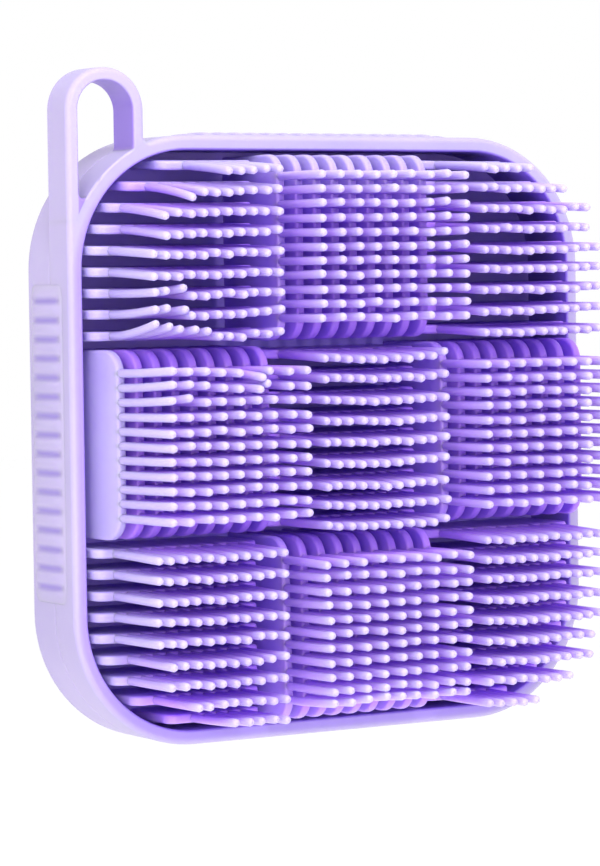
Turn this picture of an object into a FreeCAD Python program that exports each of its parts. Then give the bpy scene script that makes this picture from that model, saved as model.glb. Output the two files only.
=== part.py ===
"""Square silicone scrubbing comb with a corner hanging loop.

A shallow rounded-square tray of soft silicone holds a floor from which nine blocks of combs stand.
Each comb is a thin fin with a row of round-tipped bristles on its front edge.
In five blocks the combs lie level and their bristles are short; in four they stand upright and are tall.
Ribbed grips lie on the four sides, and a loop at one corner hangs the scrubber up.

Frame: X runs to the right, Z up, and the bristles point towards -Y.
The origin is under the arch of the hanging loop, half way through it, where a hook would bear.
Each piece is drawn about the middle of the tray, with Y = 0 at the rim's front face, and then placed.
All lengths are millimetres.
"""
import FreeCAD, Part
import math
import os

import Sketcher

os.makedirs("parts", exist_ok=True)

doc = FreeCAD.newDocument("scrubbing_comb")
Vector = FreeCAD.Vector
Rotation = FreeCAD.Rotation

# ---------------------------------------------------------------- driving dimensions
DIMENSIONS = {
    "body_side": 100.0,         # width and height of the tray
    "body_depth": 15.6,         # rim's front face to the back
    "body_corner": 22.0,        # outer corner radius of the tray
    "rim_width": 2.4,           # wall of the tray, seen as the rim
    "band_depth": 7.0,          # the front band, down to the parting line
    "edge_round": 0.9,          # rounding of the rim's outer front edge
    "inner_round": 0.4,         # rounding of the edges round the opening and the loop's eye
    "parting_round": 0.3,       # rounding that makes the fine parting lines
    "back_round": 1.5,          # rounding round the back
    "back_thick": 2.0,          # back panel
    "floor_thick": 2.0,         # floor that carries the combs
    "loop_width": 14.2,         # outside width of the hanging loop
    "loop_wall": 2.1,           # thickness of its legs and arch
    "loop_rise": 10.8,          # its top above the top of the tray
    "arch_flat": 0.4,           # short straight stretch at the top of its arch
    "loop_foot": 28.0,          # height above the tray's middle to which its legs run down inside the rim
    "eye_margin": 1.0,          # how far above the strap's foot its eye begins
    "loop_root": 36.0,          # height above the tray's middle at which its outer leg begins
    "root_round": 0.8,          # rounding where its legs meet the tray
    "grip_length": 52.0,
    "grip_start": 2.5,          # depth at which a grip begins
    "grip_end": 13.8,           # depth at which it ends
    "grip_height": 0.8,         # how far it stands proud of the side
    "grip_slope": 0.7,          # width of its sloping edges
    "grip_corner": 1.4,         # rounding of the pad's corners
    "groove_count": 16,
    "groove_pitch": 3.1,
    "groove_width": 1.3,
    "groove_length": 7.4,
    "groove_cut": 0.6,
    "groove_round": 0.58,       # rounding of a groove's corners
    "comb_pitch": 3.5,          # from one comb to the next
    "comb_count": 9,            # combs in a block
    "fin_thick": 1.5,
    "fin_length": 30.6,
    "tall_fin": 6.2,            # how far an upright fin stands in front of the rim
    "tall_corner": 3.8,         # rounding of its two front corners
    "short_fin": 1.5,           # the same for the level fins, nearly flush with the rim
    "short_corner": 2.0,
    "wall_gap": 0.4,            # clearance between the fins and the tray's wall
    "bristle_pitch": 2.32,
    "bristle_count": 11,        # bristles on a full comb
    "bristle_radius": 0.7,
    "bristle_inset": 2.6,       # least distance from a fin's end to a bristle's axis
    "bristle_root": 1.0,        # how deep a bristle is rooted in its fin
    "tall_tip": 19.8,           # tips of the upright combs, in front of the rim
    "short_tip": 16.3,          # tips of the level combs
}

sheet = doc.addObject("Spreadsheet::Sheet", "Dims")
for row, (alias, value) in enumerate(DIMENSIONS.items(), start=1):
    sheet.set(f"A{row}", alias)
    sheet.set(f"B{row}", str(value))
    sheet.setAlias(f"B{row}", alias)
doc.recompute()


def bound(expression):
    """Rewrite an expression in dimension names as one that an object can read from the sheet."""
    text = ""
    word = ""
    for letter in expression + " ":
        if letter.isalnum() or letter == "_":
            word += letter
        else:
            text += "Dims." + word if word in DIMENSIONS else word
            text += letter
            word = ""
    return text.strip()


def now(expression):
    """The present value of such an expression, to draw a sketch near its final size."""
    return float(sheet.evalExpression(expression))


# Where the middle of the tray, in the plane of the rim's face, lies in the model's frame
CENTRE_X = "(body_side - loop_width) / 2"
CENTRE_Y = "-band_depth / 2"
CENTRE_Z = "(loop_wall - loop_rise - body_side / 2)"


def put_at(thing, shift_x="0", shift_y="0", shift_z="0", owner="Placement.Base"):
    """Bind a place to the tray's middle, plus a shift."""
    thing.setExpression(f"{owner}.x", bound(f"{CENTRE_X} + {shift_x}"))
    thing.setExpression(f"{owner}.y", bound(f"{CENTRE_Y} + {shift_y}"))
    thing.setExpression(f"{owner}.z", bound(f"{CENTRE_Z} + {shift_z}"))


def new_body(label, placed=True):
    """A body drawn about the middle of the tray."""
    body = doc.addObject("PartDesign::Body", label)
    body.Label = label
    if placed:
        put_at(body)
    return body


def new_sketch(body, role, depth=None, across=None):
    """A sketch on one of a body's own origin planes, moved along its normal and across by expressions."""
    sketch = body.newObject("Sketcher::SketchObject", body.Label + "_sketch")
    plane = next(item for item in body.Origin.OriginFeatures if item.Role == role)
    sketch.AttachmentSupport = [(plane, "")]
    sketch.MapMode = "FlatFace"
    if depth:
        sketch.setExpression("AttachmentOffset.Base.z", bound(depth))
    if across:
        sketch.setExpression("AttachmentOffset.Base.x", bound(across))
    return sketch


def drive(sketch, index, expression):
    """Bind a dimension of a sketch to the sheet."""
    sketch.setExpression(f"Constraints[{index}]", bound(expression))


def add_outline(sketch, left, right, bottom, top, radii):
    """A rectangle with tangent corner arcs. radii: bottom left, bottom right, top right, top left."""
    edges = [now(left), now(right), now(bottom), now(top)]
    x0, x1, y0, y1 = edges
    size = [now(radius) if radius else 0.0 for radius in radii]
    corners = [(x0, y0, 1, 1, 180), (x1, y0, -1, 1, 270), (x1, y1, -1, -1, 0), (x0, y1, 1, -1, 90)]
    ends = []
    for (x, y, sx, sy, start), radius in zip(corners, size):
        if sx * sy > 0:
            ends.append((Vector(x, y + sy * radius, 0), Vector(x + sx * radius, y, 0)))
        else:
            ends.append((Vector(x + sx * radius, y, 0), Vector(x, y + sy * radius, 0)))
    lines = []
    for here in range(4):
        start = ends[here][1]
        stop = ends[(here + 1) % 4][0]
        lines.append(sketch.addGeometry(Part.LineSegment(start, stop), False))
    for here in range(4):
        before = lines[here - 1]
        after = lines[here]
        if not radii[here]:
            sketch.addConstraint(Sketcher.Constraint("Coincident", before, 2, after, 1))
            continue
        x, y, sx, sy, start = corners[here]
        circle = Part.Circle(Vector(x + sx * size[here], y + sy * size[here], 0), Vector(0, 0, 1), size[here])
        arc = Part.ArcOfCircle(circle, math.radians(start), math.radians(start + 90))
        curve = sketch.addGeometry(arc, False)
        sketch.addConstraint(Sketcher.Constraint("Tangent", before, 2, curve, 1))
        sketch.addConstraint(Sketcher.Constraint("Tangent", curve, 2, after, 1))
        drive(sketch, sketch.addConstraint(Sketcher.Constraint("Radius", curve, size[here])), radii[here])
    bottom_line, right_line, top_line, left_line = lines
    sketch.addConstraint(Sketcher.Constraint("Horizontal", bottom_line))
    sketch.addConstraint(Sketcher.Constraint("Vertical", right_line))
    sketch.addConstraint(Sketcher.Constraint("Horizontal", top_line))
    sketch.addConstraint(Sketcher.Constraint("Vertical", left_line))
    for kind, line, place, expression in (
            ("DistanceX", left_line, x0, left), ("DistanceX", right_line, x1, right),
            ("DistanceY", bottom_line, y0, bottom), ("DistanceY", top_line, y1, top)):
        drive(sketch, sketch.addConstraint(Sketcher.Constraint(kind, -1, 1, line, 1, place)), expression)
    return lines


def add_square(sketch, half, radius):
    """A rounded square about the sketch's origin."""
    add_outline(sketch, f"-({half})", half, f"-({half})", half, [radius] * 4)


def add_feature(body, kind, profile, length, back=False):
    """A pad or pocket of a sketch. back turns it towards +Y on a front sketch."""
    feature = body.newObject(kind, body.Label + "_" + kind.split("::")[1].lower())
    feature.Profile = profile
    feature.setExpression("Length", bound(length))
    feature.Reversed = back
    doc.recompute()
    return feature


def edge_names(shape, wanted):
    """The names of the edges for which wanted(edge) holds."""
    return [f"Edge{place}" for place, edge in enumerate(shape.Edges, start=1) if wanted(edge)]


def round_edges(body, feature, wanted, radius):
    """A fillet on the edges of the last feature for which wanted(edge) holds."""
    names = edge_names(feature.Shape, wanted)
    if not names:
        raise RuntimeError(f"{body.Label}: no edges to round by {radius}")
    fillet = body.newObject("PartDesign::Fillet", body.Label + "_fillet")
    fillet.Base = (feature, names)
    fillet.setExpression("Radius", bound(radius))
    doc.recompute()
    return fillet


SAME = 0.001    # mm: places closer than this are the same place


def wires_at(shape, depth):
    """The outlines of the widest flat face at Y = depth, the largest first."""
    flat = [face for face in shape.Faces
            if abs(face.BoundBox.YMin - depth) < SAME and abs(face.BoundBox.YMax - depth) < SAME]
    widest = max(flat, key=lambda face: face.BoundBox.DiagonalLength)
    return sorted(widest.Wires, key=lambda wire: -wire.BoundBox.DiagonalLength)


def on_wire(wire):
    """A test that holds for the edges of a wire."""
    return lambda edge: any(edge.isSame(side) for side in wire.Edges)


HALF = "body_side / 2"
INNER_HALF = "(body_side / 2 - rim_width)"
INNER_CORNER = "body_corner - rim_width"

# ---------------------------------------------------------------- front band and hanging loop
# One moulding: the loop's flat strap is drawn first, its eye is cut, and the tray's outline is
# laid over its lower part, so that the legs run into the rim.
ARCH_TOP = "body_side / 2 + loop_rise"
LOOP_LEFT = "-body_side / 2"
LOOP_RIGHT = "loop_width - body_side / 2"

moulding = new_body("front_moulding")
strap_sketch = new_sketch(moulding, "XZ_Plane")
add_outline(strap_sketch, LOOP_LEFT, LOOP_RIGHT, "loop_foot", ARCH_TOP,
            [None, None, "(loop_width - arch_flat) / 2", "(loop_width - arch_flat) / 2"])
strap = add_feature(moulding, "PartDesign::Pad", strap_sketch, "band_depth", back=True)
eye_sketch = new_sketch(moulding, "XZ_Plane")
add_outline(eye_sketch, f"{LOOP_LEFT} + loop_wall", f"{LOOP_RIGHT} - loop_wall", "loop_foot + eye_margin",
            f"{ARCH_TOP} - loop_wall",
            [None, None, "(loop_width - arch_flat) / 2 - loop_wall", "(loop_width - arch_flat) / 2 - loop_wall"])
eye = add_feature(moulding, "PartDesign::Pocket", eye_sketch, "band_depth")
outline_sketch = new_sketch(moulding, "XZ_Plane")
add_square(outline_sketch, HALF, "body_corner")
outline = add_feature(moulding, "PartDesign::Pad", outline_sketch, "band_depth", back=True)
opening_sketch = new_sketch(moulding, "XZ_Plane")
add_square(opening_sketch, INNER_HALF, INNER_CORNER)
opening = add_feature(moulding, "PartDesign::Pocket", opening_sketch, "band_depth")


def root_edge(edge):
    """True for an edge through the moulding's thickness where a leg of the loop meets the tray."""
    box = edge.BoundBox
    through = abs(box.YLength - now("band_depth")) < SAME and box.XLength < SAME
    margin = now("eye_margin")
    beside_loop = now(LOOP_LEFT) + margin < box.XMin < now(LOOP_RIGHT) + margin
    return through and beside_loop and now("loop_foot") + 2 * margin < box.ZMin < now(HALF)


moulding_front = round_edges(moulding, opening, root_edge, "root_round")
for which, radius in ((0, "edge_round"), (1, "inner_round"), (2, "inner_round")):
    wire = wires_at(moulding_front.Shape, 0)[which]
    moulding_front = round_edges(moulding, moulding_front, on_wire(wire), radius)
for which in (0, 2):
    wire = wires_at(moulding_front.Shape, now("band_depth"))[which]
    moulding_front = round_edges(moulding, moulding_front, on_wire(wire), "parting_round")

# The tool that parts the loop from the band: the tray's outline, and everything below the loop's root
tray_tool = new_body("tray_tool")
tool_sketch = new_sketch(tray_tool, "XZ_Plane")
add_square(tool_sketch, HALF, "body_corner")
add_feature(tray_tool, "PartDesign::Pad", tool_sketch, "band_depth", back=True)
root_sketch = new_sketch(tray_tool, "XZ_Plane")
add_outline(root_sketch, LOOP_LEFT, "0", "-loop_root", "loop_root", [None] * 4)
add_feature(tray_tool, "PartDesign::Pad", root_sketch, "band_depth", back=True)

front_band = doc.addObject("Part::Common", "front_band")
front_band.Base = moulding
front_band.Tool = tray_tool
hanging_loop = doc.addObject("Part::Cut", "hanging_loop")
hanging_loop.Base = moulding
hanging_loop.Tool = tray_tool

# ---------------------------------------------------------------- rear shell, back panel and floor
rear_shell = new_body("rear_shell")
shell_sketch = new_sketch(rear_shell, "XZ_Plane", "-band_depth")
add_square(shell_sketch, HALF, "body_corner")
add_square(shell_sketch, INNER_HALF, INNER_CORNER)
shell = add_feature(rear_shell, "PartDesign::Pad", shell_sketch, "body_depth - band_depth", back=True)
for depth, radius in (("band_depth", "parting_round"), ("body_depth", "back_round")):
    shell = round_edges(rear_shell, shell, on_wire(wires_at(shell.Shape, now(depth))[0]), radius)

back_panel = new_body("back_panel")
panel_sketch = new_sketch(back_panel, "XZ_Plane", "back_thick - body_depth")
add_square(panel_sketch, INNER_HALF, INNER_CORNER)
panel = add_feature(back_panel, "PartDesign::Pad", panel_sketch, "back_thick", back=True)
round_edges(back_panel, panel, on_wire(wires_at(panel.Shape, now("body_depth"))[0]), "parting_round")

FLOOR_DEPTH = "(body_depth - back_thick - floor_thick)"
bristle_floor = new_body("bristle_floor")
floor_sketch = new_sketch(bristle_floor, "XZ_Plane", f"-{FLOOR_DEPTH}")
add_square(floor_sketch, INNER_HALF, INNER_CORNER)
add_feature(bristle_floor, "PartDesign::Pad", floor_sketch, "floor_thick", back=True)

# ---------------------------------------------------------------- ribbed grips
# One grip is made on the left side; the others are its mirror images.
# Its sketches lie on the YZ plane: across is the depth, up is the height.
GRIP_MIDDLE = "(grip_start + grip_end) / 2"

grip_left = new_body("grip_left")
pad_sketch = new_sketch(grip_left, "YZ_Plane", "-body_side / 2 - grip_height")
add_outline(pad_sketch, "grip_start", "grip_end", "-grip_length / 2", "grip_length / 2", ["grip_corner"] * 4)
grip_pad = add_feature(grip_left, "PartDesign::Pad", pad_sketch, "grip_height")


def outer_edge(edge):
    """True for an edge of the grip's outer face."""
    outside = now("-body_side / 2 - grip_height")
    return abs(edge.BoundBox.XMin - outside) < SAME and abs(edge.BoundBox.XMax - outside) < SAME


slope = grip_left.newObject("PartDesign::Chamfer", "grip_slope")
slope.Base = (grip_pad, edge_names(grip_pad.Shape, outer_edge))
slope.setExpression("Size", bound("grip_slope"))
doc.recompute()
groove_sketch = new_sketch(grip_left, "YZ_Plane", "-body_side / 2 - grip_height")
GROOVE_BOTTOM = "-groove_pitch * (groove_count - 1) / 2"
add_outline(groove_sketch, f"{GRIP_MIDDLE} - groove_length / 2", f"{GRIP_MIDDLE} + groove_length / 2",
            f"{GROOVE_BOTTOM} - groove_width / 2", f"{GROOVE_BOTTOM} + groove_width / 2",
            ["groove_round"] * 4)
groove = add_feature(grip_left, "PartDesign::Pocket", groove_sketch, "groove_cut", back=True)
if slope.Shape.Volume - groove.Shape.Volume < 1:
    raise RuntimeError("the groove cut nothing")
grooves = grip_left.newObject("PartDesign::LinearPattern", "grooves")
grooves.Originals = [groove]
grooves.Direction = (groove_sketch, ["V_Axis"])
grooves.setExpression("Length", bound("groove_pitch * (groove_count - 1)"))
grooves.setExpression("Occurrences", bound("groove_count"))
grip_left.Tip = grooves
doc.recompute()

MIRRORS = {"grip_right": Vector(1, 0, 0), "grip_top": Vector(1, 0, 1), "grip_bottom": Vector(1, 0, -1)}
grips = [grip_left]
for label, normal in MIRRORS.items():
    grip = doc.addObject("Part::Mirroring", label)
    grip.Source = grip_left
    grip.Normal = normal
    put_at(grip, owner="Base")
    grips.append(grip)

# ---------------------------------------------------------------- combs
# A comb is drawn lying level about the middle of its block: its fin along X, its bristles towards -Y.
BLOCK = "comb_pitch * comb_count"
LAST_BRISTLE = "bristle_pitch * (bristle_count - 1) / 2"


def make_comb(label, start, kind):
    """A tall or short comb: a fin from X = start to its full right end, and the bristles it has room for."""
    root_depth = f"bristle_root - {kind}_fin"
    comb = new_body(label, placed=False)
    fin_sketch = new_sketch(comb, "XY_Plane", "-fin_thick / 2")
    add_outline(fin_sketch, start, "fin_length / 2", f"-{kind}_fin", FLOOR_DEPTH,
                [f"{kind}_corner", f"{kind}_corner", None, None])
    add_feature(comb, "PartDesign::Pad", fin_sketch, "fin_thick")

    # Half a bristle's outline, about the sketch's own upright axis, which is the axis of the last bristle
    profile = new_sketch(comb, "XY_Plane", across=LAST_BRISTLE)
    radius = now("bristle_radius")
    root = now(root_depth)
    shoulder = now(f"bristle_radius - {kind}_tip")
    axis = profile.addGeometry(Part.LineSegment(Vector(0, shoulder - radius, 0), Vector(0, root, 0)), False)
    base = profile.addGeometry(Part.LineSegment(Vector(0, root, 0), Vector(radius, root, 0)), False)
    side = profile.addGeometry(Part.LineSegment(Vector(radius, root, 0), Vector(radius, shoulder, 0)), False)
    ball = Part.Circle(Vector(0, shoulder, 0), Vector(0, 0, 1), radius)
    dome = profile.addGeometry(Part.ArcOfCircle(ball, math.radians(270), math.radians(360)), False)
    profile.addConstraint(Sketcher.Constraint("Coincident", axis, 2, base, 1))
    profile.addConstraint(Sketcher.Constraint("Coincident", base, 2, side, 1))
    profile.addConstraint(Sketcher.Constraint("Tangent", side, 2, dome, 2))
    profile.addConstraint(Sketcher.Constraint("Coincident", dome, 1, axis, 1))
    profile.addConstraint(Sketcher.Constraint("Horizontal", base))
    profile.addConstraint(Sketcher.Constraint("Vertical", axis))
    profile.addConstraint(Sketcher.Constraint("Vertical", side))
    profile.addConstraint(Sketcher.Constraint("PointOnObject", dome, 3, axis))
    profile.addConstraint(Sketcher.Constraint("PointOnObject", axis, 1, -2))
    drive(profile, profile.addConstraint(Sketcher.Constraint("Radius", dome, radius)), "bristle_radius")
    drive(profile, profile.addConstraint(Sketcher.Constraint("DistanceY", -1, 1, base, 1, root)), root_depth)
    drive(profile, profile.addConstraint(Sketcher.Constraint("DistanceY", -1, 1, axis, 1, shoulder - radius)),
          f"-{kind}_tip")
    bristle = comb.newObject("PartDesign::Revolution", label + "_bristle")
    bristle.Profile = profile
    bristle.ReferenceAxis = (profile, ["V_Axis"])
    bristle.Angle = 360.0
    doc.recompute()

    count = f"floor(({LAST_BRISTLE} - ({start}) - bristle_inset) / bristle_pitch) + 1"
    row = comb.newObject("PartDesign::LinearPattern", label + "_row")
    row.Originals = [bristle]
    row.Direction = (profile, ["H_Axis"])
    row.Reversed = True
    row.setExpression("Length", bound(f"bristle_pitch * ({count} - 1)"))
    row.setExpression("Occurrences", bound(count))
    comb.Tip = row
    doc.recompute()
    return comb


FULL_START = "-fin_length / 2"
comb_tall = make_comb("comb_tall", FULL_START, "tall")
comb_short = make_comb("comb_short", FULL_START, "short")

# In a corner block the combs nearest the corner stop short of the tray's round corner.
CORNER_COMBS = 5
corner_combs = []
for number in range(CORNER_COMBS):
    above = f"({BLOCK} + comb_pitch * ({4 - number}) + fin_thick / 2 - body_side / 2 + body_corner)"
    along = f"sqrt(pow({INNER_CORNER} - wall_gap; 2) - pow({above}; 2))"
    start = f"max({FULL_START}; {BLOCK} - body_side / 2 + body_corner - {along})"
    corner_combs.append(make_comb(f"comb_corner_{number + 1}", start, "short"))


def make_block(label, column, row, combs, upright):
    """A block of combs. column and row count from the middle of the tray, in blocks."""
    links = []
    for number, comb in enumerate(combs):
        link = doc.addObject("App::Link", f"{label}_{number + 1}")
        link.LinkedObject = comb
        step = f"comb_pitch * ({number} - (comb_count - 1) / 2)"
        if upright:
            link.Placement.Rotation = Rotation(Vector(0, 1, 0), 90)
            put_at(link, f"{column} * {BLOCK} + {step}", "0", f"{row} * {BLOCK}")
        else:
            put_at(link, f"{column} * {BLOCK}", "0", f"{row} * {BLOCK} - {step}")
        links.append(link)
    block = doc.addObject("Part::Compound", label)
    block.Links = links
    return block


def mirror_block(label, source, normal):
    """The mirror image of a block in a plane through the middle of the tray."""
    block = doc.addObject("Part::Mirroring", label)
    block.Source = source
    block.Normal = normal
    put_at(block, owner="Base")
    return block


comb_total = int(now("comb_count"))
upright_combs = [comb_tall] * comb_total
level_combs = [comb_short] * comb_total
top_left = make_block("comb_block_top_left", -1, 1, corner_combs + level_combs[CORNER_COMBS:], False)
top_right = mirror_block("comb_block_top_right", top_left, Vector(1, 0, 0))
blocks = [
    top_left,
    make_block("comb_block_top_centre", 0, 1, upright_combs, True),
    top_right,
    make_block("comb_block_middle_left", -1, 0, upright_combs, True),
    make_block("comb_block_centre", 0, 0, level_combs, False),
    make_block("comb_block_middle_right", 1, 0, upright_combs, True),
    mirror_block("comb_block_bottom_left", top_left, Vector(0, 0, 1)),
    make_block("comb_block_bottom_centre", 0, -1, upright_combs, True),
    mirror_block("comb_block_bottom_right", top_right, Vector(0, 0, 1)),
]
doc.recompute()

# ---------------------------------------------------------------- check and write
for item in doc.Objects:
    if "Invalid" in item.State or "Error" in item.State:
        raise RuntimeError(f"{item.Label} failed: {item.State}")

nodes = [front_band, hanging_loop, rear_shell, back_panel, bristle_floor, *grips, *blocks]
for node in nodes:
    shape = node.Shape
    if shape.isNull() or not shape.isValid():
        raise RuntimeError(f"{node.Label} has no valid shape")
    shape.exportStep(f"parts/{node.Label}.step")
    box = shape.BoundBox
    print(f"{node.Label:28s} {len(shape.Solids)} solids {shape.Volume:9.1f} mm3 "
          f"x {box.XMin:.1f}..{box.XMax:.1f} y {box.YMin:.1f}..{box.YMax:.1f} z {box.ZMin:.1f}..{box.ZMax:.1f}")
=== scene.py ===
# %% [markdown]
# # A square silicone scrubbing comb
# The object is a rounded-square tray of soft lavender silicone, filled with nine blocks of combs.
# Each comb is a thin fin that carries a row of round-tipped bristles.
# The tray, the loop, the shell and the floor come from the CAD frame and keep their shapes.
# The ribbed grips and the combs are softer and busier than CAD solids can be, so they are modelled here,
# inside the space that the CAD solids hold.

# %% Load the frame
import math

import bmesh
import bpy
import numpy as np
from mathutils import Matrix, Vector


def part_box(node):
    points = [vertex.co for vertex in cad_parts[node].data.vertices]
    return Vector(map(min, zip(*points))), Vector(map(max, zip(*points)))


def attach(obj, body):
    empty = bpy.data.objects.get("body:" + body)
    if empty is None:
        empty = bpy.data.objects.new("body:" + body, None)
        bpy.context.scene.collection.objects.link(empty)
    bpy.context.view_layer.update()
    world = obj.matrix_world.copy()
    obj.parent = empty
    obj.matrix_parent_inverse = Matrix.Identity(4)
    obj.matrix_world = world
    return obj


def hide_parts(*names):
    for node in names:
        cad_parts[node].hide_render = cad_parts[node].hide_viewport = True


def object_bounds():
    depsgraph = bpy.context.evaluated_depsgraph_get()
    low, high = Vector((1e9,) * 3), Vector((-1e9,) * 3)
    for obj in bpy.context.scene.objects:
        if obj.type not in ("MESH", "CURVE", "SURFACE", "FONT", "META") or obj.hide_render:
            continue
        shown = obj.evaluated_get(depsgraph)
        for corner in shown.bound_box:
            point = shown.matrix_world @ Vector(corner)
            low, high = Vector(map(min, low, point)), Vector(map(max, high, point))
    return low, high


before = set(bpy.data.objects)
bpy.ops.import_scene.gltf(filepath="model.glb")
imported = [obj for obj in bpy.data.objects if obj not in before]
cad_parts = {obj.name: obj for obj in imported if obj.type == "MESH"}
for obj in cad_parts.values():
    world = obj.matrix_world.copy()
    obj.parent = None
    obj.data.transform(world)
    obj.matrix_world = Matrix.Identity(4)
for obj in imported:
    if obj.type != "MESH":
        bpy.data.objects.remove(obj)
cad_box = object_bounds()
MM = 0.001  # every measure below is written in millimetres and multiplied by this
print("CAD box, mm:", [[round(value / MM, 1) for value in corner] for corner in cad_box])

# %% [markdown]
# ## Where things are
# Sizes come from the frame where it has them. The front band's box gives the middle of the tray and the
# rim's front face, and the floor's box gives the face that the combs stand on. The block in the middle
# holds nine level combs, so its height gives the distance from one comb to the next.

# %% Read the tray and the comb spacing from the frame
band_low, band_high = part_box("front_band")
tray_middle = (band_low + band_high) / 2
RIM_FACE = band_low.y
FLOOR_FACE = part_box("bristle_floor")[0].y

FIN_THICK = 1.5 * MM
COMBS = 9
level_low, level_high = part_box("comb_block_centre")
COMB_PITCH = (level_high.z - level_low.z - FIN_THICK) / (COMBS - 1)
FIN_HALF = (level_high.x - level_low.x) / 2
SHORT_TIP = level_low.y
TALL_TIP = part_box("comb_block_top_centre")[0].y
print("comb pitch", round(COMB_PITCH / MM, 3), "mm, fin length", round(2 * FIN_HALF / MM, 2), "mm")
print("depths of the rim, the short tips and the tall tips, mm:",
      [round(depth / MM, 2) for depth in (RIM_FACE, SHORT_TIP, TALL_TIP)])

# %% [markdown]
# ## The camera
# The scrubber is seen from its left and very slightly from above, with a long lens, so its edges stay
# nearly parallel. The camera is placed by turning a view direction and stepping back along it from the
# middle of the tray. A small step aside keeps the loop and the bristles both inside the frame.

# %% Place the camera
CAMERA_YAW = math.radians(31.15)
CAMERA_PITCH = math.radians(2.69)
CAMERA_ROLL = math.radians(0.8)
CAMERA_DISTANCE = 579.4 * MM
ASIDE = 6.2 * MM       # how far the camera is moved to its own left
RAISED = 0.3 * MM      # and how far it is moved up
LENS = 143.4
SENSOR = 36.0

forward = Vector((math.sin(CAMERA_YAW) * math.cos(CAMERA_PITCH),
                  math.cos(CAMERA_YAW) * math.cos(CAMERA_PITCH),
                  -math.sin(CAMERA_PITCH)))
level_right = Vector((math.cos(CAMERA_YAW), -math.sin(CAMERA_YAW), 0.0))
level_down = forward.cross(level_right)
right = math.cos(CAMERA_ROLL) * level_right + math.sin(CAMERA_ROLL) * level_down
down = math.cos(CAMERA_ROLL) * level_down - math.sin(CAMERA_ROLL) * level_right
rim_middle = Vector((tray_middle.x, RIM_FACE, tray_middle.z))
camera_place = rim_middle - forward * CAMERA_DISTANCE - right * ASIDE - down * RAISED

camera_data = bpy.data.cameras.new("camera")
camera_data.lens = LENS
camera_data.sensor_width = SENSOR
camera = bpy.data.objects.new("camera", camera_data)
camera_turn = Matrix((right, -down, -forward)).transposed().to_4x4()
camera.matrix_world = Matrix.Translation(camera_place) @ camera_turn
bpy.context.scene.collection.objects.link(camera)
bpy.context.scene.camera = camera
print("camera at", [round(value, 3) for value in camera_place])

# %% [markdown]
# ## The studio
# A hanging scrubber throws its shadow far below itself, so the pale floor lies well under it and runs back
# until it meets a white world. Three large soft lights add shape: the key on the left in front, a weaker
# one above, and a wide fill that looks almost straight into the combs, because their gaps would be black
# without it. The standard view transform keeps the violet as strong as it is.

# %% Floor, world and lights
FLOOR_DROP = 190 * MM
FLOOR_SIZE = 8.0


def hex_colour(text):
    """An sRGB hex value as the linear colour that a shader wants."""
    values = [int(text[place:place + 2], 16) / 255 for place in (0, 2, 4)]
    linear = [value / 12.92 if value <= 0.04045 else ((value + 0.055) / 1.055) ** 2.4 for value in values]
    return linear + [1.0]


def add_node(tree, kind, links=None, **settings):
    """Add a node. Settings are its attributes, or values for sockets written with a leading underscore."""
    node = tree.nodes.new(kind)
    for name, value in settings.items():
        if name.startswith("_"):
            node.inputs[name[1:].replace("_", " ")].default_value = value
        else:
            setattr(node, name, value)
    for socket, source in (links or {}).items():
        tree.links.new(source, node.inputs[socket])
    return node


def new_material(name):
    """A material with an empty node tree and its output."""
    material = bpy.data.materials.new(name)
    material.use_nodes = True
    material.node_tree.nodes.clear()
    return material, material.node_tree


bpy.ops.object.select_all(action="DESELECT")
bpy.ops.mesh.primitive_plane_add(size=FLOOR_SIZE, location=(tray_middle.x, 0, cad_box[0][2] - FLOOR_DROP))
studio_floor = bpy.context.object
studio_floor.name = "studio_floor"
# Matt white emulsion paint: a rough skin that scatters light evenly, so the floor has no shine.
floor_paint, tree = new_material("matt_white_studio_paint")
paint = add_node(tree, "ShaderNodeBsdfPrincipled", _Base_Color=hex_colour("FFFFFF"), _Roughness=0.9)
add_node(tree, "ShaderNodeOutputMaterial", {"Surface": paint.outputs["BSDF"]})
studio_floor.data.materials.append(floor_paint)

world = bpy.data.worlds.new("white_studio")
world.use_nodes = True
background = world.node_tree.nodes["Background"]
background.inputs["Color"].default_value = hex_colour("FFFFFF")
background.inputs["Strength"].default_value = 1.0
bpy.context.scene.world = world
bpy.context.scene.view_settings.view_transform = "Standard"


def soft_light(name, place, size, watts):
    """A square area light that faces the middle of the tray."""
    data = bpy.data.lights.new(name, "AREA")
    data.size = size
    data.energy = watts
    light = bpy.data.objects.new(name, data)
    aim = rim_middle - Vector(place)
    light.matrix_world = Matrix.Translation(place) @ aim.to_track_quat("-Z", "Y").to_matrix().to_4x4()
    bpy.context.scene.collection.objects.link(light)


soft_light("key_left_front", place=(-0.75, -0.7, 0.3), size=0.4, watts=4.0)
soft_light("top", place=(0.0, -0.4, 0.42), size=0.3, watts=3.0)
soft_light("fill_front", place=(-0.3, -0.9, -0.1), size=0.5, watts=2.5)
print("studio: floor", round(FLOOR_DROP / MM), "mm below the scrubber, 3 soft lights")

# %% [markdown]
# ## Silicone
# The whole scrubber is platinum-cured silicone rubber, moulded in a lightly blasted tool. That gives a
# soft satin skin with no sharp glints, and light that sinks a little way in and comes out again, so thin
# edges and bristle tips glow paler than thick walls. The tray and the combs share one recipe. A fine
# grain a fraction of a millimetre wide roughens the shine, and a slow cloud about two centimetres wide
# varies the colour by a few percent, as pigment does in a moulding.

# %% The silicone recipe
GRAIN_WIDTH = 0.35     # mm, the blasted texture of the mould, drawn a little coarse so that it shows
CLOUD_WIDTH = 18.0     # mm, slow variation of the pigment
GRAIN_DEPTH = 0.03     # mm
SHINE_SPREAD = 0.06    # how much rougher and smoother the grain makes the skin
GLOW_REACH = (1.6 * MM, 1.1 * MM, 2.4 * MM)     # how far red, green and blue light travel in the silicone
SILICONE_IOR = 1.41


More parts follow.
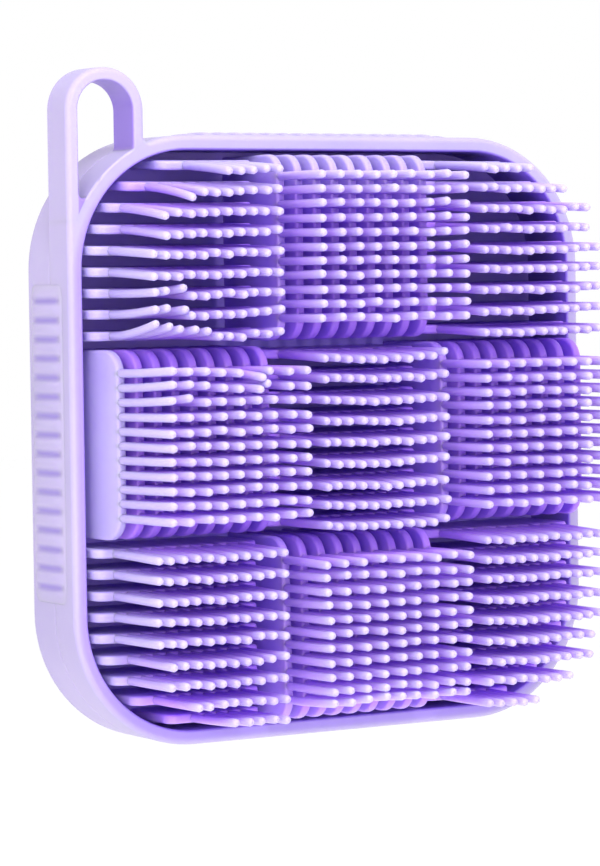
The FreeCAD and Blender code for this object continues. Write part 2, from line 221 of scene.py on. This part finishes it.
def silicone(name, pale, deep, glow, roughness, grain):
    """Satin silicone. pale and deep are the two shades that the pigment cloud runs between."""
    material, tree = new_material(name)
    place = add_node(tree, "ShaderNodeTexCoord")
    cloud = add_node(tree, "ShaderNodeTexNoise", {"Vector": place.outputs["Object"]},
                     _Scale=1 / (CLOUD_WIDTH * MM), _Detail=2.0)
    tint = add_node(tree, "ShaderNodeValToRGB", {"Fac": cloud.outputs["Fac"]})
    tint.color_ramp.elements[0].position = 0.35
    tint.color_ramp.elements[0].color = hex_colour(deep)
    tint.color_ramp.elements[1].position = 0.65
    tint.color_ramp.elements[1].color = hex_colour(pale)
    speckle = add_node(tree, "ShaderNodeTexNoise", {"Vector": place.outputs["Object"]},
                       _Scale=1 / (GRAIN_WIDTH * MM), _Detail=3.0)
    bump = add_node(tree, "ShaderNodeBump", {"Height": speckle.outputs["Fac"]},
                    _Strength=grain, _Distance=GRAIN_DEPTH * MM)
    shine = add_node(tree, "ShaderNodeMapRange", {"Value": speckle.outputs["Fac"]},
                     _To_Min=roughness - SHINE_SPREAD, _To_Max=roughness + SHINE_SPREAD)
    body = add_node(tree, "ShaderNodeBsdfPrincipled",
                    {"Base Color": tint.outputs["Color"], "Roughness": shine.outputs["Result"],
                     "Normal": bump.outputs["Normal"]},
                    _IOR=SILICONE_IOR, _Subsurface_Weight=glow, _Subsurface_Scale=1.0,
                    _Subsurface_Radius=GLOW_REACH)
    add_node(tree, "ShaderNodeOutputMaterial", {"Surface": body.outputs["BSDF"]})
    return material, tree, body, tint


print("silicone recipe ready, grain", GRAIN_WIDTH, "mm wide")

# %% [markdown]
# ## Painted shade on the tray
# The same silicone gets a deeper violet as painted shade where shade falls: on the wall inside the tray, in
# the eye of the loop, in the grooves of the grips, and on the part of the rim that faces away from the key
# light. A texture painted by hand could show that painted shade, but a mask worked out from the place of
# each point needs no image. It takes the straight part of a rounded opening away from the point, and what
# is left is the distance from the opening's corner centres. The grooves carry an attribute of their own
# instead.

# %% Mask an opening
def within_opening(tree, middle, straight, edge, blend):
    """A mask that is 1 inside an opening with rounded corners and fades out over a blend beyond its edge."""
    place = add_node(tree, "ShaderNodeTexCoord").outputs["Object"]
    for operation, constant in (("SUBTRACT", middle), ("ABSOLUTE", None), ("SUBTRACT", straight),
                                ("MAXIMUM", (0, 0, 0)), ("LENGTH", None)):
        step = add_node(tree, "ShaderNodeVectorMath", {0: place}, operation=operation)
        if constant:
            step.inputs[1].default_value = constant
        place = step.outputs["Value" if operation == "LENGTH" else "Vector"]
    return add_node(tree, "ShaderNodeMapRange", {"Value": place}, _From_Min=edge,
                    _From_Max=edge + blend, _To_Min=1.0, _To_Max=0.0).outputs["Result"]


# %% Mix the silicone of the tray, the back and the floor
STRAIGHT = (28 * MM, 1, 28 * MM)     # half of the straight sides, with 1 m of depth so that depth is ignored
OPENING_EDGE = 19.7 * MM             # corner radius of the opening
OPENING_BLEND = 0.35 * MM
OUTLINE_EDGE = 22 * MM               # corner radius of the tray's outline
OUTLINE_BLEND = 0.1 * MM
RIM_SHIFT = Vector((-0.7 * MM, 0, -0.9 * MM))     # away from the key light
RIM_BLEND = 1.1 * MM
EYE_MIDDLE = (0, 0, -17 * MM)
EYE_STRAIGHT = (0.1 * MM, 1, 12 * MM)
EYE_EDGE = 4.95 * MM
EYE_BLEND = 0.25 * MM
GROOVE_PAINTED_SHADE = "groove_painted_shade"        # attribute of painted shade: 0 on a grip's ribs, 1 at the bottom of its grooves

# The back: pale lavender satin silicone with hardly any cloud, so that the large flat face stays even.
back_silicone = silicone("moulded_lavender_back_silicone", "AC9FCB", "A99CC9",
                         glow=0.35, roughness=0.5, grain=0.5)[0]
# The tray, loop and grips: the same lavender satin, with painted shade of deeper violet where shade falls.
frame_silicone, tree, body, tint = silicone("moulded_lavender_silicone", "ACA1C8", "A69CC4",
                                            glow=0.35, roughness=0.5, grain=0.5)
opening_middle = Vector((tray_middle.x, 0, tray_middle.z))
rim_painted_shade = within_opening(tree, opening_middle + RIM_SHIFT, STRAIGHT, OPENING_EDGE, RIM_BLEND)
tray_wall_painted_shade = within_opening(tree, opening_middle, STRAIGHT, OPENING_EDGE, OPENING_BLEND)
in_slot = within_opening(tree, EYE_MIDDLE, EYE_STRAIGHT, EYE_EDGE, EYE_BLEND)
in_outline = within_opening(tree, opening_middle, STRAIGHT, OUTLINE_EDGE, OUTLINE_BLEND)
eye_painted_shade = add_node(tree, "ShaderNodeMath", {0: in_slot, 1: in_outline}, operation="SUBTRACT", use_clamp=True)
groove = add_node(tree, "ShaderNodeAttribute", attribute_name=GROOVE_PAINTED_SHADE)
# Painted shade: a deeper violet on the rim away from the key light, on the tray's inner wall, in the loop's
# eye and in the grooves.
colour = tint.outputs["Color"]
for shade, share in (("9C88D0", rim_painted_shade), ("8E74D0", tray_wall_painted_shade),
                     ("9179C9", eye_painted_shade.outputs["Value"]), ("9180CA", groove.outputs["Fac"])):
    mix = add_node(tree, "ShaderNodeMix", {"A": colour, "Factor": share}, data_type="RGBA",
                   _B=hex_colour(shade))
    colour = mix.outputs["Result"]
tree.links.new(colour, body.inputs["Base Color"])
# The floor: violet satin silicone, made a stronger violet as painted shade, since it is seen only in shadow
# between the combs.
floor_silicone = silicone("moulded_violet_silicone", "B092FF", "AC8EFC",
                          glow=0.3, roughness=0.5, grain=0.4)[0]
print("silicone mixed for the tray, its back and its floor")

# %% Give the CAD pieces their silicone
node_silicones = {"front_band": frame_silicone, "hanging_loop": frame_silicone, "rear_shell": frame_silicone,
                  "back_panel": back_silicone, "bristle_floor": floor_silicone}
for name, material in node_silicones.items():
    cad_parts[name].data.materials.clear()
    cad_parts[name].data.materials.append(material)

# %% [markdown]
# ## One bristle
# A bristle is a soft round rod with a domed tip, rooted in the front edge of its fin. It could be a curve
# with a bevel, but a rod with a few rings is lighter and bends just as well, and there are hundreds of
# them. A cylinder is added at its size, cut into rings where it will bend, and its end is bevelled into a
# dome. The tall combs and the short combs have one bristle each.

# %% Helpers for mesh editing
def start_editing():
    """Open the active object in edit mode with nothing selected."""
    bpy.ops.object.mode_set(mode="EDIT")
    bpy.ops.mesh.select_all(action="DESELECT")


def select(thing, kind, wanted):
    """In edit mode, select the verts, edges or faces whose middle passes the test. Says how many."""
    bpy.ops.mesh.select_all(action="DESELECT")
    bpy.ops.mesh.select_mode(type={"verts": "VERT", "edges": "EDGE", "faces": "FACE"}[kind])
    mesh = bmesh.from_edit_mesh(thing.data)
    count = 0
    for element in getattr(mesh, kind):
        if kind == "verts":
            fits = wanted(element.co)
        elif kind == "edges":
            fits = wanted(element.verts[0].co, element.verts[1].co)
        else:
            fits = wanted(element.calc_center_median(), element.normal)
        if fits:
            element.select_set(True)
            count += 1
    bmesh.update_edit_mesh(thing.data)
    return count


def slice_across(places, normal):
    """In edit mode, cut the whole mesh by planes through the given points."""
    for place in places:
        bpy.ops.mesh.select_all(action="SELECT")
        bpy.ops.mesh.bisect(plane_co=place, plane_no=normal)


def finish_editing(thing, smooth_angle):
    """Point the faces outward, leave edit mode and shade the soft edges smooth."""
    bpy.ops.mesh.select_all(action="SELECT")
    bpy.ops.mesh.normals_make_consistent(inside=False)
    bpy.ops.object.mode_set(mode="OBJECT")
    bpy.ops.object.select_all(action="DESELECT")
    thing.select_set(True)
    bpy.context.view_layer.objects.active = thing
    bpy.ops.object.transform_apply(location=True, rotation=True, scale=True)
    bpy.ops.object.shade_smooth_by_angle(angle=math.radians(smooth_angle))


# %% Model the bristle
TALL_FIN = RIM_FACE - 6.2 * MM      # front edge of a tall fin, proud of the rim
SHORT_FIN = RIM_FACE - 1.5 * MM
BRISTLE_RADIUS = 0.7 * MM
BRISTLE_ROOT = 1.0 * MM             # how far a bristle reaches into its fin
BRISTLE_SIDES = 8
BRISTLE_CUTS = (0.25, 0.45, 0.62, 0.8)     # shares of its length at which it can bend
DOME_SIZE = 0.66 * MM
DOME_STEPS = 3
BRISTLE_ANGLE = 60                  # degrees up to which its edges are shaded smooth
TINY = 0.01 * MM
FROM_TIP = "from_tip_mm"  # attribute: how far each point lies behind the tips of its comb
PAINTED_SHADE_SHARE = "shelter"       # attribute: share of painted shade, 0 where a piece faces the open side of the tray, 1 among its neighbours


def note_depth(thing, tip):
    """Store how far behind the tip every point lies, in millimetres, for the silicone to read."""
    depth = thing.data.attributes.new(FROM_TIP, "FLOAT", "POINT")
    for number, vertex in enumerate(thing.data.vertices):
        depth.data[number].value = (vertex.co.y - tip) / MM
    thing.data.attributes.new(PAINTED_SHADE_SHARE, "FLOAT", "POINT")


def make_bristle(name, fin_front, tip):
    """A bristle on the Y axis, from inside the fin to its tip."""
    root = fin_front + BRISTLE_ROOT
    bpy.ops.object.select_all(action="DESELECT")
    bpy.ops.mesh.primitive_cylinder_add(vertices=BRISTLE_SIDES, radius=BRISTLE_RADIUS, depth=root - tip,
                                        location=(0, (root + tip) / 2, 0), rotation=(math.radians(90), 0, 0))
    bristle = bpy.context.object
    bristle.name = name
    bpy.ops.object.transform_apply(location=True, rotation=True, scale=True)
    start_editing()
    length = root - tip
    slice_across([(0, root - length * share, 0) for share in BRISTLE_CUTS], (0, 1, 0))
    select(bristle, "edges", lambda a, b: max(a.y, b.y) < tip + TINY)
    bpy.ops.mesh.bevel(offset=DOME_SIZE, offset_type="OFFSET", segments=DOME_STEPS, profile=0.5)
    finish_editing(bristle, BRISTLE_ANGLE)
    note_depth(bristle, tip)
    return bristle


tall_bristle = make_bristle("tall_bristle", TALL_FIN, TALL_TIP)
short_bristle = make_bristle("short_bristle", SHORT_FIN, SHORT_TIP)
print("a bristle has", len(tall_bristle.data.polygons), "faces")

# %% [markdown]
# ## One fin
# The fin is a thin plate that stands on the floor of the tray. Its two front corners are well rounded, and
# all its edges are slightly soft, as moulded silicone is. It starts as a box, the front corners are
# bevelled first, then the long edges, and last it is sliced so that it can lean smoothly. The fins nearest
# the tray's round corners are shorter, and the same function makes them.

# %% Model the fins
TALL_CORNER = 3.8 * MM
SHORT_CORNER = 2.0 * MM
FIN_SOFTNESS = 0.42 * MM
CORNER_STEPS = 7
EDGE_STEPS = 3
FIN_SLICE = 4 * MM                        # width of the slices along a fin
FIN_CUTS = (0.25, 0.45, 0.6, 0.72, 0.82)  # shares of its height at which it can bend
FIN_ANGLE = 50                            # degrees up to which its edges are shaded smooth


def make_fin(name, start, front, corner, tip):
    """A level fin about the Y axis that runs along X from start to its full right end."""
    bpy.ops.object.select_all(action="DESELECT")
    middle = ((start + FIN_HALF) / 2, (front + FLOOR_FACE) / 2, 0)
    bpy.ops.mesh.primitive_cube_add(size=1, location=middle,
                                    scale=(FIN_HALF - start, FLOOR_FACE - front, FIN_THICK))
    fin = bpy.context.object
    fin.name = name
    bpy.ops.object.transform_apply(location=True, rotation=True, scale=True)
    start_editing()
    select(fin, "edges", lambda a, b: max(a.y, b.y) < front + TINY and abs(a.x - b.x) < TINY)
    bpy.ops.mesh.bevel(offset=corner, segments=CORNER_STEPS, profile=0.5)
    select(fin, "edges", lambda a, b: abs(a.z - b.z) < TINY and min(a.y, b.y) < FLOOR_FACE - TINY)
    bpy.ops.mesh.bevel(offset=FIN_SOFTNESS, segments=EDGE_STEPS, profile=0.5)
    cuts = int((FIN_HALF - start) / FIN_SLICE)
    slice_across([(start + (FIN_HALF - start) * step / cuts, 0, 0) for step in range(1, cuts)], (1, 0, 0))
    rise = FLOOR_FACE - front
    slice_across([(0, FLOOR_FACE - rise * share, 0) for share in FIN_CUTS], (0, 1, 0))
    finish_editing(fin, FIN_ANGLE)
    note_depth(fin, tip)
    return fin


# %% Make a full fin and the shorter ones beside the corners
BLOCK = COMB_PITCH * COMBS
INNER_HALF = 47.6 * MM       # half of the tray's inner width
INNER_CORNER = 19.6 * MM
WALL_GAP = 0.4 * MM          # clearance between a short fin and the wall


def corner_start(row):
    """Where the comb of a row, counted from the top, starts beside the tray's round corner."""
    height = BLOCK + COMB_PITCH * (COMBS // 2 - row) + FIN_THICK / 2 - (INNER_HALF - INNER_CORNER)
    reach = INNER_CORNER - WALL_GAP
    if height <= 0:
        return -FIN_HALF
    return max(-FIN_HALF, BLOCK - (INNER_HALF - INNER_CORNER) - math.sqrt(reach ** 2 - height ** 2))


short_starts = [corner_start(row) for row in range(COMBS)]
fins = {start: make_fin("fin", start, SHORT_FIN, SHORT_CORNER, SHORT_TIP)
        for start in sorted(set(short_starts))}
tall_fin = make_fin("tall_fin", -FIN_HALF, TALL_FIN, TALL_CORNER, TALL_TIP)
print("fins of", [round((FIN_HALF - start) / MM, 1) for start in sorted(fins)], "mm, faces in a full one:",
      len(tall_fin.data.polygons))

# %% [markdown]
# ## Silicone of the combs
# The combs are the same silicone, but so thin that light goes right through a tip and is lost between the
# fins, and their colour paints that light and shade in. A gradient on depth alone would do it, yet the
# short and the tall combs have their tips at different depths. So every comb carries its distance from its
# own tips, and the painted colour runs with that: a painted glow at the tips, lavender along the bristle,
# painted violet shade where the fins crowd together. A second attribute says how sheltered a point is from
# the key light, because a comb on the open side stays paler down to its root; it mixes in more painted shade.

# %% Mix the comb silicone
def depth_silicone(name, hidden, open_side):
    """The silicone with painted light and shade in its colour, set by the distance from the tips. hidden and
    open_side are the painted shades of sheltered and of open pieces, given as (mm from the tip, hex)."""
    material, tree, body, tint = silicone(name, "FFFFFF", "F4EFFC", glow=0.5, roughness=0.42, grain=0.3)
    depth = add_node(tree, "ShaderNodeAttribute", attribute_name=FROM_TIP)
    shelter = add_node(tree, "ShaderNodeAttribute", attribute_name=PAINTED_SHADE_SHARE)
    colours = []
    for shades in (hidden, open_side):
        reach = shades[-1][0]
        share = add_node(tree, "ShaderNodeMath", {0: depth.outputs["Fac"]}, operation="DIVIDE")
        share.inputs[1].default_value = reach
        ramp = add_node(tree, "ShaderNodeValToRGB", {"Fac": share.outputs["Value"]})
        while len(ramp.color_ramp.elements) < len(shades):
            ramp.color_ramp.elements.new(0.5)
        for element, (place, shade) in zip(ramp.color_ramp.elements, shades):
            element.position = place / reach
            element.color = hex_colour(shade)
        colours.append(ramp.outputs["Color"])
    pigment = add_node(tree, "ShaderNodeMix", {"A": colours[1], "B": colours[0],
                                               "Factor": shelter.outputs["Fac"]}, data_type="RGBA")
    clouded = add_node(tree, "ShaderNodeMix", {"A": pigment.outputs["Result"], "B": tint.outputs["Color"]},
                       data_type="RGBA", blend_type="MULTIPLY", _Factor=1.0)
    tree.links.new(clouded.outputs["Result"], body.inputs["Base Color"])
    return material


# Painted light and shade, as (mm from the tip, hex): sheltered pieces first, then pieces open to the key
# light.
SHADOWED_PAINTED_RAMP = [(0, "B7AED8"), (0.9, "B8ACDB"), (3, "BC9FE8"), (8, "B88AF4"), (15, "B283F8"), (30, "A878FA")]
LIT_PAINTED_RAMP = [(0, "B7AED8"), (3, "B8AEDB"), (12, "B0A6D6"), (22, "AC9EDC"), (30, "9A7CEC")]
# The combs: thin satin silicone with a painted glow at its tips and painted violet shade where light is lost.
comb_silicone = depth_silicone("moulded_violet_comb_silicone", SHADOWED_PAINTED_RAMP, LIT_PAINTED_RAMP)
print("comb silicone mixed, pale tips to violet roots")

# %% [markdown]
# ## Nine blocks of combs
# Five blocks hold level combs with short bristles, and four hold upright combs with tall ones. Every comb
# is a copy of a fin with copies of the bristle in a row. Real silicone never stands quite straight: the
# level combs sag in the middle, and each bristle has its own small lean. Physics could bend them, but a
# few smooth curves and a seeded bit of chance give the same look, and every bend stays rooted in its fin.

# %% Plan the bends
BRISTLES = 11               # on a full comb
BRISTLE_PITCH = 2.32 * MM
BRISTLE_INSET = 2.6 * MM    # least distance from a fin's start to its first bristle
LAST_BRISTLE = BRISTLES // 2 * BRISTLE_PITCH
ROUNDING = 1e-6             # keeps a bristle whose place is only just too near through rounding
JITTER = 0.13               # mm, how far chance moves a bristle's tip
FIN_CURVE = 1.7             # powers that make a lean grow towards the tip: of the comb,
TIP_CURVE = 1.6             # and of a single bristle
chance = np.random.default_rng(7)


def turned(points, upright, mirrored):
    """Points of a level comb turned about the Y axis: upright, or end for end."""
    x, y, z = points.T
    if upright:
        return np.column_stack((z, y, -x))
    if mirrored:
        return np.column_stack((-x, y, -z))
    return points.copy()


def copy_shape(template, points, shelter=None):
    """A new object with its own copy of the template's mesh, its points moved to new places."""
    shape = bpy.data.objects.new(template.name, template.data.copy())
    shape.data.vertices.foreach_set("co", np.ascontiguousarray(points, dtype=np.float32).ravel())
    if shelter is not None:
        shades = np.ascontiguousarray(shelter, dtype=np.float32)
        shape.data.attributes[PAINTED_SHADE_SHARE].data.foreach_set("value", shades)
    bpy.context.scene.collection.objects.link(shape)
    return shape


def points_of(template):
    """The template's points as an array."""
    points = np.empty(3 * len(template.data.vertices), dtype=np.float32)
    template.data.vertices.foreach_get("co", points)
    return points.reshape(-1, 3).astype(float)


def bristle_row(start):
    """Where the bristles stand along a comb, from its first to its last."""
    count = int((LAST_BRISTLE - start - BRISTLE_INSET) / BRISTLE_PITCH + ROUNDING) + 1
    return [LAST_BRISTLE - BRISTLE_PITCH * step for step in range(count)][::-1]


# %% Say how sheltered a point is
LEFT_OPEN = 3.4        # mm from the left edge of the combs over which level combs are fully open
LEFT_BLEND = 8         # mm over which they then become sheltered
TOP_OPEN = 1.5
TOP_BLEND = 7
BOTTOM_BLEND = 2.5
BOTTOM_SHELTER = 0.4   # at the very bottom, where the floor gives some light back
SECOND_SHELTER = 0.7   # for the first comb of an upright block that has a neighbour on its left


def sheltered(points, comb, column, upright):
    """How far each point is hidden from the light, which comes from the left and from above."""
    from_left = (points[:, 0] - tray_middle.x + 1.5 * BLOCK) / MM
    from_top = (tray_middle.z + 1.5 * BLOCK - points[:, 2]) / MM
    from_bottom = 3 * BLOCK / MM - from_top
    if not upright:
        shelter = np.clip((from_left - LEFT_OPEN) / LEFT_BLEND, 0, 1)
    elif comb > 0:
        shelter = np.ones(len(points))
    else:
        shelter = np.full(len(points), 0.0 if column < 0 else SECOND_SHELTER)
    above = np.clip((from_top - TOP_OPEN) / TOP_BLEND, 0, 1)
    below = np.clip(from_bottom / BOTTOM_BLEND, 0, 1) * (1 - BOTTOM_SHELTER) + BOTTOM_SHELTER
    return np.minimum(np.minimum(shelter, above), below)


print("the combs fill a square of", round(3 * BLOCK / MM, 1), "mm")

# %% Plant the combs
def plant_block(name, column, row, upright, starts, lean, stray):
    """One block. lean(comb, along) says how far, in mm, a comb's tips lean across its own plane, at a
    place from -1 to 1 along it. stray holds the few bristles that stand out: (comb, bristle) and the
    tip's shift to the right and up, in mm. Combs are counted from the left or the top."""
    middle = tray_middle + Vector((column * BLOCK, 0, row * BLOCK))
    middle.y = 0
    bristle, tip, front = short_bristle, SHORT_TIP, SHORT_FIN
    if upright:
        bristle, tip, front = tall_bristle, TALL_TIP, TALL_FIN
    mirrored = not upright and column > 0
    across_axis = np.array((1, 0, 0) if upright else (0, 0, 1))
    pieces = []
    for comb in range(COMBS):
        start = starts[comb]
        step = (comb - COMBS // 2) * COMB_PITCH * (1 if upright else -1)
        comb_middle = np.array(middle) + across_axis * step

        def leaning(points):
            along = (points[:, 2] - comb_middle[2] if upright else points[:, 0] - comb_middle[0]) / FIN_HALF
            if upright:
                along = -along
            reach = np.clip((FLOOR_FACE - points[:, 1]) / (FLOOR_FACE - tip), 0, None) ** FIN_CURVE
            return points + np.outer(lean(comb, along) * reach * MM, across_axis)

        fin = tall_fin if upright else fins[start]
        points = turned(points_of(fin), upright, mirrored) + comb_middle
        pieces.append(copy_shape(fin, leaning(points), sheltered(points, comb, column, upright)))
        stands = bristle_row(start)
        for number, place in enumerate(stands):
            points = points_of(bristle)
            points[:, 0] += place
            points = turned(points, upright, mirrored) + comb_middle
            shelter = sheltered(points, comb, column, upright)
            points = leaning(points)
            order = number + BRISTLES - len(stands)
            if mirrored:
                order = BRISTLES - 1 - order
            shift = chance.normal(0, JITTER, 2) + np.array(stray.get((comb, order), (0, 0)))
            bend = np.clip((front - points[:, 1]) / (front - tip), 0, None) ** TIP_CURVE * MM
            points[:, 0] += shift[0] * bend
            points[:, 2] += shift[1] * bend
            pieces.append(copy_shape(bristle, points, shelter))
    bpy.ops.object.select_all(action="DESELECT")
    for piece in pieces:
        piece.select_set(True)
    bpy.context.view_layer.objects.active = pieces[0]
    bpy.ops.object.join()
    block = bpy.context.object
    block.name = name
    block.data.materials.clear()
    block.data.materials.append(comb_silicone)
    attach(block, "root")
    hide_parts("comb_" + name)
    print(name, "has", len(pieces) - COMBS, "bristles and", len(block.data.polygons), "faces")


# %% [markdown]
# ## The lie of each block
# The tray hangs upright, so the level combs sag a little between their ends, and more in the upper rows.
# The upright combs on the left lean inwards. A few bristles were caught when the scrubber was last used:
# some in the top left block stick upwards or droop, and in the block below it four are pinched together
# and eight at its upper left are raised. The tall bristles beside the lower edge are pushed up a little,
# those of the bottom row the most.

# %% Lay out the nine blocks
BLOCKS = 9
LEAN_SPREAD = 0.12     # mm, how far chance moves the tips of a whole comb
full_fins = [-FIN_HALF] * COMBS
short_fins_top = short_starts
short_fins_bottom = short_starts[::-1]
lean_noise = chance.normal(0, LEAN_SPREAD, (BLOCKS, COMBS))


def sagging(block, top, bottom, sag, right_end):
    """A lean for level combs: an even droop from the top row to the bottom row, a sag, a raised end."""
    def lean(comb, along):
        even = top + (bottom - top) * comb / (COMBS - 1)
        return even + sag * (1 - along ** 2) + right_end * along + lean_noise[block, comb]
    return lean


def inclined(block, left, right, bow, fan=0):
    """A lean for upright combs, from the first comb to the last, with a bow and a fan along each comb."""
    def lean(comb, along):
        share = comb / (COMBS - 1)
        even = left + (right - left) * share + fan * along * (0.5 - share)
        return even + bow * (1 - along ** 2) + lean_noise[block, comb]
    return lean


lifted = {(1, 3): (0.1, -0.8), (2, 1): (-0.2, -0.4),
          (6, 0): (0.1, 0.5), (6, 1): (-0.2, 0.8), (6, 2): (0.5, 1.2),
          (7, 0): (0.5, 1.0), (7, 1): (-0.1, 1.3), (7, 2): (0.9, 1.1),
          (8, 0): (0.3, 2.2), (8, 1): (0.3, 1.9), (8, 2): (0.1, 1.5), (8, 3): (0.3, 1.3), (8, 4): (0.3, 1.0)}
pinched = {(5, 0): (1.2, -0.7), (5, 1): (0.6, -0.7), (6, 0): (-0.6, 0.2), (6, 1): (-1.4, 0.5),
           (0, 0): (0.1, 0.6), (0, 1): (0, 0.9), (0, 2): (0, 0.6), (1, 0): (0, 0.5), (1, 1): (0, 0.7),
           (1, 2): (0, 0.9), (2, 0): (0.2, 0.3), (2, 1): (0, 0.5)}

caught = {(0, BRISTLES - 1): (0, 0.5)}
raised = {(comb, number): (0, 0.8 if number == BRISTLES - 1 else 0.2)
          for comb in range(COMBS) for number in range(BRISTLES)}

plant_block("block_top_left", -1, 1, False, short_fins_top,
            sagging(0, top=-1.6, bottom=0.3, sag=-0.4, right_end=0.3), lifted)
plant_block("block_top_centre", 0, 1, True, full_fins, inclined(1, left=0.1, right=-0.2, bow=0.0), {})
plant_block("block_top_right", 1, 1, False, short_fins_top,
            sagging(2, top=-0.6, bottom=0.0, sag=-0.5, right_end=0.2), {})
plant_block("block_middle_left", -1, 0, True, full_fins, inclined(3, left=3.4, right=0.2, bow=0.2), pinched)
plant_block("block_centre", 0, 0, False, full_fins,
            sagging(4, top=-0.3, bottom=0.2, sag=-0.7, right_end=0.0), caught)
plant_block("block_middle_right", 1, 0, True, full_fins, inclined(5, left=0.6, right=-0.4, bow=0.1), {})
plant_block("block_bottom_left", -1, -1, False, short_fins_bottom,
            sagging(6, top=-0.2, bottom=0.9, sag=-0.4, right_end=0.0), {})
plant_block("block_bottom_centre", 0, -1, True, full_fins,
            inclined(7, left=0.7, right=-0.4, bow=0.0, fan=1.4), raised)
plant_block("block_bottom_right", 1, -1, False, short_fins_bottom,
            sagging(8, top=0.0, bottom=0.5, sag=-0.5, right_end=0.0), {})

# %% Put the templates away
for template in [tall_bristle, short_bristle, tall_fin, *fins.values()]:
    bpy.data.objects.remove(template)
print("templates removed,", BLOCKS, "blocks stay")

# %% [markdown]
# ## The ribbed grips
# On each side of the tray is a low pad with sixteen soft grooves, for wet fingers. The CAD pads have crisp
# edges, but moulded silicone has none. So one pad is made from a box: its corners are bevelled, it is cut
# into cells, and the cells of each groove are inset together and sunk. Then the outer face is crowned so
# that its long edges melt into the tray, and a subdivision surface softens what is left.

# %% Model one grip
GROOVES = 16
GROOVE_PITCH = 3.1 * MM
GROOVE_WIDTH = 1.6 * MM
GROOVE_LENGTH = 9.8 * MM
GROOVE_DEPTH = 0.6 * MM
GROOVE_SLOPE = 0.35 * MM
PAD_CORNER = 1.6 * MM
PAD_CORNER_STEPS = 3
PAD_LANES = 8           # cells along each groove, so that the crown can bend it
SUNK = 0.15 * MM        # how far a pad reaches into the tray's wall, so that no gap shows

grip_low, grip_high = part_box("grip_left")
grip_middle = (grip_low + grip_high) / 2
pad_height = grip_high.x - grip_low.x
pad_half = (grip_high.y - grip_low.y) / 2
pad_half_length = (grip_high.z - grip_low.z) / 2
bpy.ops.object.select_all(action="DESELECT")
bpy.ops.mesh.primitive_cube_add(size=1, location=grip_middle + Vector((SUNK / 2, 0, 0)),
                                scale=grip_high - grip_low + Vector((SUNK, 0, 0)))
grip = bpy.context.object
grip.name = "ribbed_grip_left"
bpy.ops.object.transform_apply(location=True, rotation=True, scale=True)
start_editing()
select(grip, "edges", lambda a, b: abs(a.y - b.y) < TINY and abs(a.z - b.z) < TINY)
bpy.ops.mesh.bevel(offset=PAD_CORNER, segments=PAD_CORNER_STEPS, profile=0.5)
groove_heights = [grip_middle.z + GROOVE_PITCH * (number - (GROOVES - 1) / 2) for number in range(GROOVES)]
slice_across([(0, 0, height + side * GROOVE_WIDTH / 2) for height in groove_heights for side in (-1, 1)],
             (0, 0, 1))
lane = GROOVE_LENGTH / PAD_LANES
slice_across([(0, grip_middle.y + lane * (number - PAD_LANES / 2), 0) for number in range(PAD_LANES + 1)],
             (0, 1, 0))
print("pad cut into", len(bmesh.from_edit_mesh(grip.data).faces), "cells")

# %% Sink the grooves and crown the pad
OUTWARD = -0.9          # a face whose normal's X is below this looks outward
CROWN_POWER = 4         # the higher, the flatter the middle of the pad across
END_POWER = 30          # and along
CROWN_FALL = pad_height + 0.8 * SUNK     # its edges end just inside the tray's wall
GROOVE_REACH = 0.9      # share of the half width within which the pad stays outside the wall
SKIN = 0.04 * MM        # the least that it then stands proud
PAD_ANGLE = 60


def in_groove(middle, normal):
    """True for a cell of the pad's outer face that is to become part of a groove."""
    beside = min(abs(middle.z - height) for height in groove_heights)
    inside = abs(middle.y - grip_middle.y) < GROOVE_LENGTH / 2
    return normal.x < OUTWARD and inside and beside < GROOVE_WIDTH / 4


sunk_cells = select(grip, "faces", in_groove)
bpy.ops.mesh.inset(thickness=GROOVE_SLOPE, depth=-GROOVE_DEPTH, use_individual=False)
for vertex in bmesh.from_edit_mesh(grip.data).verts:
    if vertex.co.x < grip_high.x:
        across = abs(vertex.co.y - grip_middle.y) / pad_half
        along = abs(vertex.co.z - grip_middle.z) / pad_half_length
        vertex.co.x += CROWN_FALL * min(1, across ** CROWN_POWER + along ** END_POWER)
        if across < GROOVE_REACH:
            vertex.co.x = min(vertex.co.x, grip_high.x - SKIN)
bmesh.update_edit_mesh(grip.data)
finish_editing(grip, PAD_ANGLE)
softening = grip.modifiers.new("softening", "SUBSURF")
softening.levels = 2
bpy.ops.object.modifier_apply(modifier="softening")
print("one grip:", sunk_cells // PAD_LANES, "grooves,", len(grip.data.polygons), "faces")

# %% Paint shade into the grooves
GROOVE_FADE = 0.95      # share of a groove's half width over which its painted shade fades in
GROOVE_END_FADE = 0.35  # and the same for its half length

# Painted shade in the grooves: 1 along a groove's middle, fading to 0 on the ribs and at the groove's ends.
shade = grip.data.attributes.new(GROOVE_PAINTED_SHADE, "FLOAT", "POINT")
for vertex in grip.data.vertices:
    beside = min(abs(vertex.co.z - height) for height in groove_heights) / (GROOVE_WIDTH / 2)
    across = abs(vertex.co.y - grip_middle.y) / (GROOVE_LENGTH / 2)
    middle_share = min(1, max(0, 1 - beside) / GROOVE_FADE)
    end_share = min(1, max(0, 1 - across) / GROOVE_END_FADE)
    shade.data[vertex.index].value = middle_share * end_share
grip.data.materials.append(frame_silicone)
print("grooves shaded on", len(shade.data), "points")

# %% Copy the grip to the other three sides
grip_points = points_of(grip)
centre = np.array(tray_middle)
for side, turns in (("top", 1), ("right", 2), ("bottom", 3)):
    quarter = math.radians(90) * turns
    offset = grip_points - centre
    turned_points = np.column_stack((offset[:, 0] * math.cos(quarter) + offset[:, 2] * math.sin(quarter),
                                     offset[:, 1],
                                     offset[:, 2] * math.cos(quarter) - offset[:, 0] * math.sin(quarter)))
    pad = copy_shape(grip, turned_points + centre)
    pad.name = "ribbed_grip_" + side
    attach(pad, "root")
    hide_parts("grip_" + side)
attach(grip, "root")
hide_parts("grip_left")
print("four grips in place")
